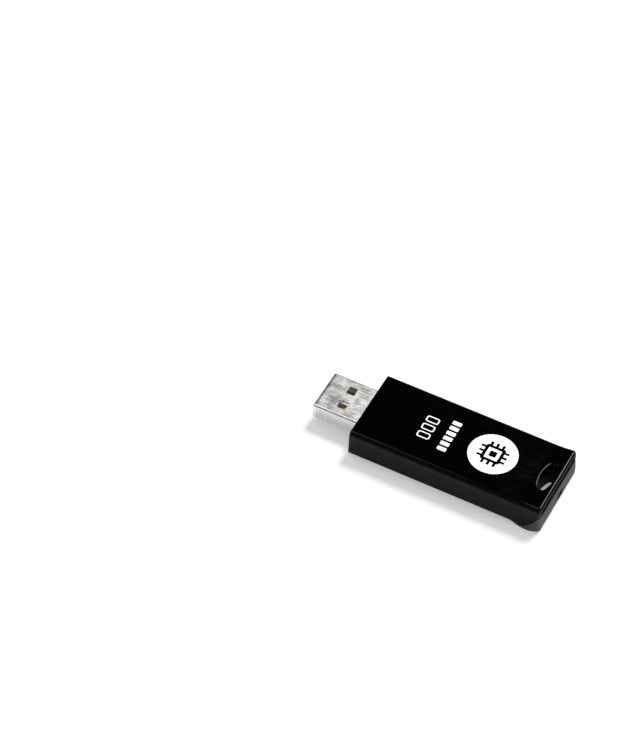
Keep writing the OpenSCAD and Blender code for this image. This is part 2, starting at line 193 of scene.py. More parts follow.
def round_rect(length, width, radius, count=6):
    """Points of a rectangle with round corners, on its centre."""
    radius = max(radius, 1e-6)
    points = []
    for turn, (sx, sy) in enumerate(((1, 1), (-1, 1), (-1, -1), (1, -1))):
        cx = sx * (length / 2 - radius)
        cy = sy * (width / 2 - radius)
        for a in quarter(count):
            a += turn * math.pi / 2
            points.append((cx + radius * math.cos(a), cy + radius * math.sin(a)))
    return points


def oval_half_width(y, length, width, radius):
    """Half the width of a four-arc oval at distance y from its middle, or None outside it."""
    run = length / 2 - radius
    side = (run * run + width * width / 4 - radius * radius) / (width - 2 * radius)
    touch = run * side / (side - radius)
    y = abs(y)
    if y <= touch:
        return math.sqrt(side * side - y * y) - (side - width / 2)
    if y <= length / 2:
        return math.sqrt(max(0.0, radius * radius - (y - run) ** 2))
    return None


def oval_point(direction, s, offset):
    """Where a ray from the slot's middle meets the slot's outline, grown by offset."""
    length = s.slot_length + 2 * offset
    width = s.slot_width + 2 * offset
    radius = SLOT_END + offset
    low, high = 0.0, length
    unit = direction.normalized()
    for _ in range(40):
        middle = (low + high) / 2
        half = oval_half_width(unit.y * middle, length, width, radius)
        if half is not None and abs(unit.x * middle) <= half:
            low = middle
        else:
            high = middle
    return unit * low


class Form:
    """The housing's outer form at distance t from the tail's end."""

    SIDE = 8
    ARC = 10
    EDGE_TOP = 4
    PANEL = 12
    LEAN = 1.6
    END_EDGE = 0.15 * MM  # rounding of the tray's end where the groove starts

    def __init__(self, s):
        self.s = s
        self.panel_y = s.slot_length / 2 + 1.3 * MM
        self.lip_out = TRAY_HIGH.y - HALF_W
        self.rise = INSIDE * (COVER_HIGH.z - BODY_H) / self.flare(COVER_T + s.rim_radius)
        self.seam_t = 7.4 * MM
        self.seam_z = BODY_H - 0.2 * MM

    def flare(self, t):
        return max(0.0, (self.s.flare_length - t) / self.s.flare_length) ** 2

    def lip(self, t):
        s = self.s
        if t > s.lip_peak:
            share = min(1.0, (t - s.lip_peak) / (s.lip_start - s.lip_peak))
            return self.lip_out * (1 + math.cos(math.pi * share)) / 2
        return self.lip_out - s.lip_end_radius + math.sqrt(
            s.lip_end_radius ** 2 - (s.lip_peak - t) ** 2)

    def top(self, t):
        return BODY_H + self.rise * self.flare(t)

    def end_at(self, z):
        """Distance of the end's face at height z from its lowest edge, which stands out most."""
        low = self.s.end_height / 3
        share = (z - low) / (self.s.end_height - low)
        return COVER_T * max(0.0, min(1.0, share))

    def shelf(self, t):
        """Height of the tray's end at t: its face leans in, and its edge is rounded."""
        s = self.s
        edge = self.END_EDGE
        high = s.end_height - s.seam_gap
        if t >= COVER_T + edge:
            return high
        if t >= COVER_T:
            return high - edge + math.sqrt(max(0.0, edge ** 2 - (COVER_T + edge - t) ** 2))
        return s.end_height / 3 + (high - edge - s.end_height / 3) * t / COVER_T

    def half(self, t, z):
        """Half width at height z: the sides lean out to their lower edges, and the
        upright corners are rounded."""
        s = self.s
        side = HALF_W + s.tail_spread * self.flare(t)
        share = max(0.0, 1 - z / (self.top(t) - s.edge_radius))
        radius = s.corner_radius * (0.6 + 0.4 * min(1.0, z / s.end_height))
        into = radius - min(radius, max(0.0, t - self.end_at(z)))
        corner = radius - math.sqrt(radius ** 2 - into ** 2)
        return side + (HALF_W + self.lip(t) - side) * share ** self.LEAN - corner

    def seam(self, t, gap=0.0):
        """Height of the seam on the sides."""
        s = self.s
        if t >= self.seam_t:
            return 0.0
        drop = math.sqrt(max(0.0, (s.seam_radius + gap) ** 2 - (self.seam_t - t) ** 2))
        return min(s.end_height - gap, self.seam_z - drop)

    def across_top(self, outer):
        """Y of the points along the top, from its rounded edge to the middle."""
        edge = steps(outer, self.panel_y, self.EDGE_TOP)
        panel = steps(self.panel_y, 0.0, self.PANEL)
        return edge + panel[1:]

    def outer(self, t, foot, inset=0.0, drop=0.0):
        """Half of the outer cross-section, from height foot up and over to the middle."""
        s = self.s
        r = s.edge_radius - inset
        centre_z = self.top(t) - s.edge_radius - drop
        centre_y = self.half(t, centre_z) - s.edge_radius
        points = [(self.half(t, z) - inset, z) for z in steps(foot, centre_z, self.SIDE)]
        for a in quarter(self.ARC)[1:]:
            points.append((centre_y + r * math.cos(a), centre_z + r * math.sin(a)))
        for y in self.across_top(centre_y)[1:]:
            points.append((y, centre_z + r))
        return points

    def inner(self, half_y, ceiling, foot, radius=0.3 * MM):
        """Half of an inner cross-section with as many points as the outer one."""
        points = [(half_y, z) for z in steps(foot, ceiling - radius, self.SIDE)]
        for a in quarter(self.ARC)[1:]:
            points.append(
                (half_y - radius + radius * math.cos(a), ceiling - radius + radius * math.sin(a)))
        for y in self.across_top(half_y - radius)[1:]:
            points.append((y, ceiling))
        return points


def whole(half):
    """A half cross-section from the near side to the middle, and on to the far side."""
    return half + [(-y, z) for y, z in reversed(half[:-1])]


# --- Mesh helpers -----------------------------------------------------------------------


def mesh_object(name, bm, crease=CREASE):
    """A smooth-shaded object from a bmesh, with edges over the crease angle left sharp."""
    bmesh.ops.remove_doubles(bm, verts=bm.verts, dist=1e-6)
    bmesh.ops.dissolve_degenerate(bm, edges=bm.edges, dist=1e-6)
    loose = [v for v in bm.verts if not v.link_faces]
    bmesh.ops.delete(bm, geom=loose, context="VERTS")
    bmesh.ops.recalc_face_normals(bm, faces=bm.faces)
    mesh = bpy.data.meshes.new(name)
    bm.to_mesh(mesh)
    bm.free()
    smooth(mesh, crease)
    obj = bpy.data.objects.new(name, mesh)
    bpy.context.scene.collection.objects.link(obj)
    return obj


def flatten(obj):
    """Keeps wide flat faces flat next to small roundings."""
    modifier = obj.modifiers.new("normals", "WEIGHTED_NORMAL")
    modifier.keep_sharp = True


def smooth(mesh, crease):
    mesh.polygons.foreach_set("use_smooth", [True] * len(mesh.polygons))
    mesh.set_sharp_from_angle(angle=math.radians(crease))


def ring(bm, points):
    return [bm.verts.new(p) for p in points]


def bridge(bm, a, b):
    """Quads between two closed rings of as many vertices."""
    for k in range(len(a)):
        n = (k + 1) % len(a)
        bm.faces.new((a[k], a[n], b[n], b[k]))


def stack(bm, rings):
    """A closed solid through rings of points, capped at both ends."""
    made = [ring(bm, points) for points in rings]
    for a, b in zip(made, made[1:]):
        bridge(bm, a, b)
    bm.faces.new(made[0])
    bm.faces.new(made[-1])


def stacked(name, rings):
    bm = bmesh.new()
    stack(bm, rings)
    return mesh_object(name, bm)


def level(outline, z, centre=(0.0, 0.0)):
    """A flat outline placed at height z."""
    return [(centre[0] + x, centre[1] + y, z) for x, y in outline]


def band(path, half):
    """The outline of a band of even width along a path, with mitred corners."""
    normals = []
    for a, b in zip(path, path[1:]):
        along = (b - a).normalized()
        normals.append(Vector((-along.y, along.x)))
    sides = []
    for k, point in enumerate(path):
        n = normals[max(0, k - 1)] + normals[min(k, len(normals) - 1)]
        sides.append((point, n * (2 * half / n.length_squared)))
    left = [tuple(p + n) for p, n in sides]
    right = [tuple(p - n) for p, n in reversed(sides)]
    return left + right


def cut(obj, cutter, operation="DIFFERENCE"):
    """Applies a boolean with another object, and removes that object."""
    modifier = obj.modifiers.new("cut", "BOOLEAN")
    modifier.operation = operation
    modifier.solver = "EXACT"
    modifier.object = cutter
    apply_modifiers(obj)
    smooth(obj.data, CREASE)
    bpy.data.objects.remove(cutter)


def apply_modifiers(obj):
    """Replaces an object's mesh with what its modifiers make of it."""
    bpy.context.view_layer.update()
    graph = bpy.context.evaluated_depsgraph_get()
    mesh = bpy.data.meshes.new_from_object(obj.evaluated_get(graph))
    obj.modifiers.clear()
    old = obj.data
    obj.data = mesh
    bpy.data.meshes.remove(old)


def soften(obj, width):
    """Rounds a CAD node's sharp edges with modifiers that leave its mesh as it is."""
    weld = obj.modifiers.new("weld", "WELD")
    weld.merge_threshold = 1e-6
    bevel = obj.modifiers.new("edges", "BEVEL")
    bevel.width = width
    bevel.segments = 2
    bevel.limit_method = "ANGLE"
    bevel.angle_limit = math.radians(CAD_CREASE)
    bevel.use_clamp_overlap = True
    bevel.harden_normals = False
    smooth(obj.data, CAD_CREASE)


def pierce(bm, border, centre, s, height, fillet):
    """Fills a panel inwards from its border to the strap slot's rounded rim.
    height(x) is the panel's height, and fillet is signed: the way the rim turns."""
    rays = [Vector((v.co.x - centre, v.co.y)) for v in border]
    depth = abs(fillet)
    previous = border
    for share in (0.4, 0.75, 1.0):
        points = []
        for v, ray in zip(border, rays):
            flat = ray.lerp(oval_point(ray, s, depth), share)
            points.append((centre + flat.x, flat.y, height(centre + flat.x)))
        made = ring(bm, points)
        bridge(bm, previous, made)
        previous = made
    if depth:
        for a in quarter(4)[1:]:
            offset = depth * (1 - math.sin(a))
            points = []
            for ray in rays:
                flat = oval_point(ray, s, offset)
                x = centre + flat.x
                points.append((x, flat.y, height(x) - fillet * (1 - math.cos(a))))
            made = ring(bm, points)
            bridge(bm, previous, made)
            previous = made
    return previous


def border_of(rows, i0, i1, j0, j1):
    """The vertices round a rectangle of a grid, in order."""
    loop = [rows[i0][j] for j in range(j0, j1)]
    loop += [rows[i][j1] for i in range(i0, i1)]
    loop += [rows[i1][j] for j in range(j1, j0, -1)]
    loop += [rows[i][j0] for i in range(i1, i0, -1)]
    return loop


def skin(bm, rows, *holes):
    """Quads over a grid of vertices, except inside rectangles (i0, i1, j0, j1)."""
    for i in range(len(rows) - 1):
        for j in range(len(rows[i]) - 1):
            if any(h[0] <= i < h[1] and h[2] <= j < h[3] for h in holes):
                continue
            bm.faces.new((rows[i][j], rows[i + 1][j], rows[i + 1][j + 1], rows[i][j + 1]))


# --- Materials --------------------------------------------------------------------------


class Finish:
    """A node material on a Principled shader, in the drive's own coordinates."""

    def __init__(self, name, base, roughness, metallic=0.0, **sockets):
        self.material = bpy.data.materials.new(name)
        self.material.use_nodes = True
        self.tree = self.material.node_tree
        self.shader = self.tree.nodes["Principled BSDF"]
        self.base = (*base, 1.0)
        self.shader.inputs["Base Color"].default_value = self.base
        self.shader.inputs["Roughness"].default_value = roughness
        self.shader.inputs["Metallic"].default_value = metallic
        for socket, value in sockets.items():
            self.shader.inputs[socket.replace("_", " ")].default_value = value
        self.place = self.tree.nodes.new("ShaderNodeTexCoord").outputs["Object"]
        self.bump = None

    def node(self, kind, **values):
        made = self.tree.nodes.new(kind)
        for name, value in values.items():
            if hasattr(made, name):
                setattr(made, name, value)
            else:
                made.inputs[name.replace("_", " ")].default_value = value
        return made

    def link(self, source, target):
        self.tree.links.new(source, target)

    def stretched(self, scale):
        """Object coordinates scaled by a vector, for grain that runs one way."""
        mapping = self.node("ShaderNodeMapping")
        mapping.inputs["Scale"].default_value = scale
        self.link(self.place, mapping.inputs["Vector"])
        return mapping.outputs["Vector"]

    def noise(self, scale, detail=3.0, roughness=0.5, vector=None):
        made = self.node("ShaderNodeTexNoise", Scale=scale, Detail=detail, Roughness=roughness)
        self.link(vector or self.place, made.inputs["Vector"])
        return made.outputs["Fac"]

    def cells(self, scale):
        made = self.node("ShaderNodeTexVoronoi", Scale=scale)
        self.link(self.place, made.inputs["Vector"])
        return made.outputs["Distance"]

    def product(self, a, b):
        made = self.node("ShaderNodeMath", operation="MULTIPLY")
        self.link(a, made.inputs[0])
        self.link(b, made.inputs[1])
        return made.outputs[0]

    def ramp(self, source, low, high, start=0.35, end=0.65):
        """Maps a texture from start..end to low..high."""
        made = self.node("ShaderNodeMapRange")
        self.link(source, made.inputs["Value"])
        for name, value in (("From Min", start), ("From Max", end), ("To Min", low), ("To Max", high)):
            made.inputs[name].default_value = value
        return made.outputs["Result"]

    def roughen(self, source, low, high, start=0.35, end=0.65):
        self.link(self.ramp(source, low, high, start, end), self.shader.inputs["Roughness"])

    def tint(self, source, other, start=0.35, end=0.65):
        """Varies the base colour towards another one."""
        mix = self.node("ShaderNodeMix", data_type="RGBA")
        self.link(self.ramp(source, 0.0, 1.0, start, end), mix.inputs[0])
        mix.inputs[6].default_value = self.base
        mix.inputs[7].default_value = (*other, 1.0)
        if self.shader.inputs["Base Color"].is_linked:
            previous = self.shader.inputs["Base Color"].links[0].from_socket
            self.link(previous, mix.inputs[6])
        self.link(mix.outputs[2], self.shader.inputs["Base Color"])

    def relief(self, source, depth, strength=1.0):
        """Adds a bump of that depth in metres, on top of any bump there already."""
        made = self.node("ShaderNodeBump", Strength=strength, Distance=depth)
        self.link(source, made.inputs["Height"])
        if self.bump:
            self.link(self.bump, made.inputs["Normal"])
        self.bump = made.outputs["Normal"]
        self.link(self.bump, self.shader.inputs["Normal"])


def shade(base, factor):
    return tuple(min(1.0, c * factor) for c in base)


def gloss_cover(c):
    """Polished black plastic with faint flow lines, haze and fine rubbing marks."""
    f = Finish("gloss_black", c.cover, 0.07, Specular_IOR_Level=0.12)
    haze = f.noise(120.0, 4.0)
    rubbing = f.noise(900.0, 6.0, 0.7, f.stretched((0.25, 1.0, 1.0)))
    f.roughen(f.product(haze, rubbing), 0.045, 0.13, 0.12, 0.42)
    f.relief(f.noise(260.0, 1.0), 0.004 * MM, 0.25)
    f.relief(f.noise(5200.0, 2.0, 0.6, f.stretched((0.08, 1.0, 1.0))), 0.0006 * MM, 0.3)
    return f.material


def spark_tray(c):
    """Spark-eroded dark grey plastic: fine pits, slightly polished high spots."""
    f = Finish("eroded_grey", c.tray, 0.6, Specular_IOR_Level=0.45)
    pits = f.cells(7200.0)
    grain = f.noise(3600.0, 4.0, 0.65)
    f.tint(grain, shade(c.tray, 1.5), 0.42, 0.75)
    f.tint(f.noise(160.0, 2.0), shade(c.tray, 0.75), 0.45, 0.8)
    f.roughen(grain, 0.5, 0.72)
    f.relief(pits, 0.02 * MM, 0.5)
    f.relief(grain, 0.02 * MM, 0.6)
    return f.material


def printed_ink(c):
    """Screen-printed ink with a faint painted glow that makes it read whiter: faint weave, pinholes and a
    little wear.
    """
    # The emission is painted light: the ink glows though it is no lamp.
    f = Finish("white_ink", c.ink, 0.45, Emission_Color=WHITE,
               Emission_Strength=0.18)
    f.tint(f.noise(900.0, 5.0, 0.7), shade(c.ink, 0.92), 0.5, 0.8)
    f.tint(f.cells(2600.0), shade(c.ink, 0.7), 0.05, 0.0)
    f.roughen(f.noise(2000.0, 3.0), 0.35, 0.55)
    f.relief(f.cells(9000.0), 0.004 * MM, 0.4)
    return f.material


def moulded(name, base, gloss=(0.38, 0.52), grain=4200.0, depth=0.008, specular=0.45):
    """Plain moulded plastic with a fine grain and slow flow marks."""
    f = Finish(name, base, sum(gloss) / 2, Specular_IOR_Level=specular)
    fine = f.noise(grain, 4.0, 0.6)
    f.tint(f.noise(240.0, 3.0), shade(base, 0.82), 0.4, 0.75)
    f.roughen(fine, *gloss)
    f.relief(fine, depth * MM, 0.5)
    return f.material


def matte_black_and_painted_shade(c):
    """Matte black: on the cover's end it is the cover's own black without its polish; on the tray's
    groove and the slot's wall it is painted shade.
    """
    return moulded("matte_black_and_painted_shade", c.cover, (0.55, 0.7), specular=0.08)


def plated(name, base, gloss, along=(0.05, 1.0, 1.0), scratches=0.0012):
    """Plated sheet metal: rolling grain along X, insertion rubs and dull patches."""
    f = Finish(name, base, sum(gloss) / 2, 1.0)
    rolled = f.noise(6000.0, 3.0, 0.6, f.stretched(along))
    patches = f.noise(350.0, 4.0, 0.6)
    f.tint(patches, shade(base, 0.9), 0.45, 0.8)
    f.roughen(f.product(rolled, patches), *gloss, 0.15, 0.4)
    f.relief(rolled, scratches * MM, 0.5)
    f.relief(f.noise(1500.0, 5.0, 0.75, f.stretched((0.02, 1.0, 1.0))), 2 * scratches * MM, 0.3)
    return f.material


def solder_resist(c):
    """Green lacquer over copper tracks."""
    f = Finish("solder_resist", c.resist, 0.3)
    tracks = f.node("ShaderNodeTexBrick", Scale=900.0, Mortar_Size=0.12)
    f.link(f.place, tracks.inputs["Vector"])
    f.tint(tracks.outputs["Fac"], shade(c.resist, 1.9), 0.2, 0.8)
    f.roughen(f.noise(1800.0, 3.0), 0.22, 0.4)
    f.relief(tracks.outputs["Fac"], 0.02 * MM, 0.6)
    f.relief(f.noise(5000.0, 2.0), 0.003 * MM, 0.4)
    return f.material


def assign(obj, finish):
    obj.data.materials.clear()
    obj.data.materials.append(finish)


def settle(obj, body, nodes):
    """Rides a new piece on its body, in place of its CAD nodes."""
    flatten(obj)
    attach(obj, body)
    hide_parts(*nodes)


# --- Pieces -----------------------------------------------------------------------------


class DriveOperator:
    """What the drive's operators share"""

    bl_options = {"REGISTER", "UNDO"}

    @property
    def shape(self):
        return bpy.context.scene.drive_shape

    @property
    def colours(self):
        return bpy.context.scene.drive_colours


class FLASHDRIVE_OT_cover(DriveOperator, bpy.types.Operator):
    """Build the glossy cover as one smooth loft, with the strap slot in its tail"""

    bl_idname = "flashdrive.cover"
    bl_label = "Cover"

    def execute(self, context):
        s = self.shape
        form = Form(s)
        bm = bmesh.new()
        rows = self.sections(form)
        outer = [[bm.verts.new((x, y, z)) for y, z in o] for x, o, _ in rows]
        inner = [[bm.verts.new((x, y, z)) for y, z in n] for x, _, n in rows]
        hole = self.hole
        skin(bm, outer, hole)
        skin(bm, inner, hole)
        for i in range(len(rows) - 1):
            for j in (0, -1):
                bm.faces.new((outer[i][j], outer[i + 1][j], inner[i + 1][j], inner[i][j]))
        for i in (0, -1):
            for j in range(len(outer[i]) - 1):
                bm.faces.new((outer[i][j], outer[i][j + 1], inner[i][j + 1], inner[i][j]))
        centre = TAIL_X + s.slot_centre
        ceiling = BODY_H - s.top_wall
        upper = pierce(bm, border_of(outer, *hole), centre, s,
                       lambda x: form.top(x - TAIL_X), s.slot_rim)
        lower = pierce(bm, border_of(inner, *hole), centre, s, lambda x: ceiling, 0.0)
        bridge(bm, upper, lower)
        cover = mesh_object("cover_shell", bm)
        assign(cover, gloss_cover(self.colours))
        cover.data.materials.append(matte_black_and_painted_shade(self.colours))
        for face in cover.data.polygons:
            if face.center.x < TAIL_X + COVER_T + NEAR:
                face.material_index = 1
        settle(cover, HOUSING, ["top_cover"])
        return {"FINISHED"}

    def sections(self, form):
        """Rows of (x, outer section, inner section) from the tail's rim to the nose."""
        s = form.s
        cavity_y = HALF_W - s.side_wall
        ceiling = BODY_H - s.top_wall
        foot_r = 0.12 * MM
        foot_turn = foot_r * 0.3
        slot_margin = 0.9 * MM
        rows = []

        def add(t, kind="cavity", inset=0.0):
            foot = max(COVER_LOW.z, form.seam(t))
            into = s.rim_radius - min(s.rim_radius, t - COVER_T)
            drop = s.rim_radius - math.sqrt(s.rim_radius ** 2 - into ** 2)
            out = form.outer(t, foot, inset, drop)
            edge = out[0][0]
            out[0:1] = [(edge - foot_r, foot), (edge - foot_turn, foot + foot_turn),
                        (edge, foot + foot_r)]
            if kind == "cavity":
                inn = form.inner(cavity_y, ceiling, foot)
            else:
                inn = self.mouth(form, foot, inset)
            inn[1:1] = [(inn[0][0], foot + foot_turn), (inn[0][0], foot + foot_r)]
            rows.append((TAIL_X + t, whole(out), whole(inn)))

        for a in quarter(8):
            add(COVER_T + s.corner_radius * (1 - math.cos(a)))
        panel_start = COVER_T + s.corner_radius
        panel_end = s.slot_centre + s.slot_width / 2 + slot_margin
        i0 = len(rows) - 1
        for t in steps(panel_start, panel_end, 14)[1:]:
            add(t)
        i1 = len(rows) - 1
        for t in steps(panel_end, s.lip_start, 8)[1:]:
            add(t)
        nose_t = NOSE_X - TAIL_X
        wall_t = nose_t - s.nose_wall
        for t in steps(s.lip_start, wall_t, 12)[1:]:
            add(t)
        add(wall_t, "mouth")
        for a in quarter(4):
            add(nose_t - s.nose_radius * (1 - math.sin(a)), "mouth",
                s.nose_radius * (1 - math.cos(a)))
        j0 = 2 + form.SIDE + form.ARC + form.EDGE_TOP
        self.hole = (i0, i1, j0, j0 + 2 * form.PANEL)
        return rows

    def mouth(self, form, foot, inset):
        """The opening that the plug slides through."""
        room = 0.25 * MM
        lead_in = inset * 0.6
        half_y = SHELL_HIGH.y + room + lead_in
        top = SHELL_HIGH.z + room + lead_in
        return form.inner(half_y, top, foot, SHELL_CORNER)


class FLASHDRIVE_OT_tray(DriveOperator, bpy.types.Operator):
    """Build the matte tray with its tail, rails, slider recess and strap slot"""

    bl_idname = "flashdrive.tray"
    bl_label = "Tray"

    def execute(self, context):
        s = self.shape
        form = Form(s)
        tray = self.body(form)
        for cutter in self.cutters(form):
            cut(tray, cutter)
        cut(tray, self.rails(form), "UNION")
        assign(tray, spark_tray(self.colours))
        self.line(tray, s)
        settle(tray, HOUSING, ["bottom_tray"])
        return {"FINISHED"}

    def line(self, tray, s):
        """Paints the slot's wall and the groove matte black as painted shade, in place of the tray's
        grey.
        """
        tray.data.materials.append(matte_black_and_painted_shade(self.colours))
        rim = 0.2 * MM
        for face in tray.data.polygons:
            x, y, z = face.center
            t = x - TAIL_X
            half = oval_half_width(y, s.slot_length + NEAR, s.slot_width + NEAR, SLOT_END)
            in_slot = z > rim and half is not None and abs(t - s.slot_centre) <= half
            in_groove = z > s.end_height - rim and t > COVER_T
            # Painted shade: tray faces inside the slot and the groove get black where shadow falls.
            if in_slot or in_groove:
                face.material_index = 1

    def body(self, form):
        """The tail and the floor as one loft from the end wall to the nose."""
        s = form.s
        tray_y = HALF_W - s.side_wall - FIT
        block_top = BODY_H - s.top_wall - FIT
        slot_t = s.slot_centre + s.slot_width / 2
        slot_wall = 1.15 * MM
        slot_margin = 0.8 * MM
        seam_room = 0.8 * MM
        tongue_room = 0.2 * MM
        block_t = slot_t + slot_wall
        groove_t = COVER_T + s.groove_depth
        lip_t = form.seam_t - seam_room
        nose_t = NOSE_X - TAIL_X
        under = 0.2 * MM
        turn = form.ARC // 2
        rows = []

        def add(t, kind):
            """Half a section, from the middle of the underside round to the middle of the top."""
            into = under - min(under, t)
            low = under - math.sqrt(under ** 2 - into ** 2)
            high = {"shelf": form.shelf(t), "block": block_top}.get(kind, s.floor)
            if kind in ("floor", "tongue"):
                edge = tray_y if kind == "floor" else SHELL_HIGH.y + tongue_room
                up = [(edge, z) for z in steps(under, s.floor * 0.9, form.SIDE)]
            else:
                edge = form.half(t, under)
                ledge = high if kind == "shelf" else max(under * 1.1, form.seam(t, s.seam_gap))
                up = [(form.half(t, z), z) for z in steps(low + under, ledge, form.SIDE)]
            start_y, start_z = up[-1]
            stop_y = min(tray_y, start_y)
            up += [(y, start_z) for y in steps(start_y, stop_y, turn)[1:]]
            up += [(stop_y, z) for z in steps(start_z, high, form.ARC - turn)[1:]]
            up += [(y, high) for y in form.across_top(stop_y)[1:]]
            base = steps(0.0, form.panel_y, form.PANEL)
            base += steps(form.panel_y, edge - under, form.EDGE_TOP)[1:]
            half = [(y, low) for y in base]
            half += [(edge - under * (1 - math.sin(a)), low + under * (1 - math.cos(a)))
                     for a in quarter(4)[1:-1]]
            rows.append((TAIL_X + t, half + up))

        for a in quarter(4)[:-1]:
            add(under * (1 - math.cos(a)), "shelf")
        for t in steps(under, COVER_T, 3):
            add(t, "shelf")
        for t in steps(COVER_T, COVER_T + form.END_EDGE, 4)[1:]:
            add(t, "shelf")
        for t in steps(COVER_T + form.END_EDGE, groove_t, 3)[1:]:
            add(t, "shelf")
        add(groove_t, "block")
        panel_start = COVER_T + s.corner_radius
        panel_end = slot_t + slot_margin
        i0 = len(rows)
        for t in steps(panel_start, panel_end, 12):
            add(t, "block")
        i1 = len(rows) - 1
        add(block_t, "block")
        for t in steps(block_t, lip_t, 3):
            add(t, "ledge")
        for t in steps(lip_t, nose_t - s.nose_wall - FIT, 12):
            add(t, "floor")
        add(nose_t - s.nose_wall - FIT, "tongue")
        add(nose_t, "tongue")

        bm = bmesh.new()
        near = [[bm.verts.new((x, y, z)) for y, z in half] for x, half in rows]
        far = [[bm.verts.new((x, -y, z)) for y, z in half] for x, half in rows]
        count = len(near[0])
        cut_low = (i0, i1, 0, form.PANEL)
        cut_top = (i0, i1, count - 1 - form.PANEL, count - 1)
        skin(bm, near, cut_low, cut_top)
        skin(bm, far, cut_low, cut_top)
        bm.faces.new(near[0] + far[0][-2:0:-1])
        bm.faces.new(near[-1] + far[-1][-2:0:-1])
        centre = TAIL_X + s.slot_centre
        low_loop = self.both(near, far, i0, i1, form.PANEL, 0)
        top_loop = self.both(near, far, i0, i1, count - 1 - form.PANEL, count - 1)
        lower = pierce(bm, low_loop, centre, s, lambda x: 0.0, -under)
        upper = pierce(bm, top_loop, centre, s, lambda x: block_top, 0.0)
        bridge(bm, lower, upper)
        return mesh_object("tray_shell", bm)

    @staticmethod
    def both(near, far, i0, i1, edge, middle):
        """The border of a panel that lies across the middle, from both halves."""
        step = 1 if edge > middle else -1
        loop = [near[i0][j] for j in range(edge, middle, -step)]
        loop += [far[i0][j] for j in range(middle, edge, step)]
        loop += [far[i][edge] for i in range(i0, i1)]
        loop += [far[i1][j] for j in range(edge, middle, -step)]
        loop += [near[i1][j] for j in range(middle, edge, step)]
        loop += [near[i][edge] for i in range(i1, i0, -1)]
        return loop

    def cutters(self, form):
        """The window in the end, the slider's recess and the slot for the slider's stem."""
        s = form.s
        room = 0.2 * MM
        beyond = 0.2 * MM
        chamfer = 0.1 * MM
        bevel, bevel_t = 0.15 * MM, 0.2 * MM
        corner = 0.5 * MM
        sill = 0.5 * MM
        window = []
        for t, grow in ((-beyond, bevel), (0.0, bevel), (bevel_t, 0.0), (s.slot_centre, 0.0)):
            outline = round_rect(s.window_width + 2 * grow, s.window_height + 2 * grow, corner)
            middle_z = sill + s.window_height / 2
            window.append([(TAIL_X + t, y - s.window_side, middle_z + z) for y, z in outline])
        yield stacked("window", window)
        pad_x = (SLIDER_LOW.x + SLIDER_HIGH.x) / 2
        middle = (pad_x - TRAVEL / 2, 0.0)
        pad_l = SLIDER_HIGH.x - SLIDER_LOW.x
        pad_w = SLIDER_HIGH.y - SLIDER_LOW.y
        pad_corner = 0.9 * MM
        recess = []
        for z, grow in ((-beyond, beyond + chamfer), (0.0, chamfer), (chamfer, 0.0), (s.recess, 0.0)):
            outline = round_rect(
                TRAVEL + pad_l + 2 * (room + grow), pad_w + 2 * (room + grow), pad_corner)
            recess.append(level(outline, z, middle))
        yield stacked("recess", recess)
        stem_l = 5.0 * MM
        stem_w = 4.0 * MM
        stem_corner = 0.3 * MM
        stem = round_rect(TRAVEL + stem_l + 2 * room, stem_w + 2 * room, stem_corner)
        yield stacked("stem_slot", [level(stem, z, middle) for z in (-s.floor, 2 * s.floor)])

    def rails(self, form):
        """The two rails that guide the carriage, with the notches that its springs click into."""
        s = form.s
        tray_y = HALF_W - s.side_wall - FIT
        rail_t = 0.7 * MM
        rail_h = 4.4 * MM
        back_room = 0.15 * MM
        front_room = 0.5 * MM
        sunk = 0.1 * MM
        start = TAIL_X + s.slot_centre + s.slot_width / 2 + back_room
        end = NOSE_X - s.nose_wall - front_room
        spring_low, spring_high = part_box("detent_springs")
        bump_x = (spring_low.x + spring_high.x) / 2
        notch_r = 0.9 * MM
        deep = 0.55 * MM
        half = math.acos(deep / notch_r)
        inner = [(start, tray_y - rail_t)]
        for x in (bump_x - TRAVEL, bump_x):
            for a in steps(-half, half, 10):
                inner.append((x + notch_r * math.sin(a),
                              tray_y - rail_t - deep + notch_r * math.cos(a)))
        inner.append((end, tray_y - rail_t))
        outline = inner + [(end, tray_y), (start, tray_y)]
        low = s.floor - sunk
        bm = bmesh.new()
        for side in (1, -1):
            plan = [(x, side * y) for x, y in outline]
            stack(bm, [level(plan, z) for z in (low, rail_h)])
        return mesh_object("rails", bm)


